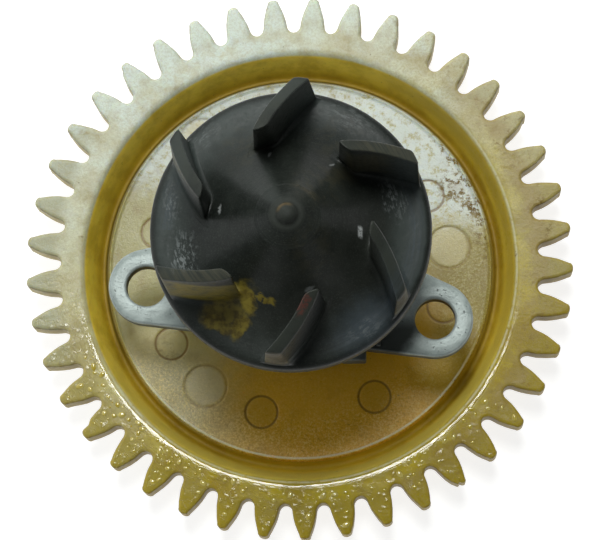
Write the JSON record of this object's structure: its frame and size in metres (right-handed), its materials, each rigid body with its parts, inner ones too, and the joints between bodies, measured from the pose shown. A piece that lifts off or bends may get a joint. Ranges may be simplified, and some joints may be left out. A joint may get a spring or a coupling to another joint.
{
  "type": "coolant pump drive unit",
  "caption": "Spur gear, shaft, two-eared bearing flange and open bladed impeller of a small engine's coolant pump.",
  "frame": {"origin": "on the shaft's axis, in the plane of the gear rim's back face, which the part stands on", "axes": "+Z along the shaft from the gear to the impeller's nose; +X through the middle of a gear tooth"},
  "size_m": [0.0752, 0.0752, 0.0513],
  "materials": {
    "aged_nylon": "moulded natural nylon, yellowed by oil, with brown stains",
    "ground_steel": "ground steel",
    "spring_steel": "blackened spring steel",
    "bearing_steel": "polished bearing steel",
    "black_plastic": "black moulded plastic, dusty and scuffed",
    "brass": "turned brass",
    "ceramic": "lapped white ceramic",
    "rubber": "black nitrile rubber",
    "cage_polyamide": "natural polyamide",
    "casting": "bluish grey die casting, worn round the screw holes",
    "bronze": "oil-soaked sintered bronze",
    "carbon": "lapped carbon graphite"
  },
  "bodies": {
    "housing": {"mounting_flange": "casting", "spigot_o_ring": "rubber", "bearing_outer_ring": "bearing_steel", "bearing_circlip": "spring_steel", "shaft_bush": "bronze", "oil_seal_case": "ground_steel", "oil_seal_lip": "rubber", "oil_seal_spring": "ground_steel", "coolant_seal_cup": "ground_steel", "coolant_seal_bellows": "rubber", "coolant_seal_spring": "ground_steel", "carbon_face_ring": "carbon"},
    "rotor": {"drive_gear": "aged_nylon", "drive_shaft": "ground_steel", "drive_pin": "ground_steel", "gear_thrust_washer": "ground_steel", "gear_circlip": "spring_steel", "bearing_inner_ring": "bearing_steel", "impeller": "black_plastic", "impeller_insert": "brass", "ceramic_seat": "ceramic", "seat_boot": "rubber"},
    "ball_set": {"bearing_cage": "cage_polyamide", "bearing_ball_1": "bearing_steel", "bearing_ball_2": "bearing_steel", "bearing_ball_3": "bearing_steel", "bearing_ball_4": "bearing_steel", "bearing_ball_5": "bearing_steel", "bearing_ball_6": "bearing_steel", "bearing_ball_7": "bearing_steel"}
  },
  "joints": [
    {"name": "rotor_spin", "type": "hinge", "parent": "housing", "child": "rotor", "pos_m": [0, 0, 0.0118], "axis": [0, 0, 1], "continuous": true},
    {"name": "ball_set_spin", "type": "hinge", "parent": "housing", "child": "ball_set", "pos_m": [0, 0, 0.0118], "axis": [0, 0, 1], "continuous": true}
  ],
  "couplings": [
    {"joint": "ball_set_spin", "follows": "rotor_spin", "ratio": 0.368}
  ]
}
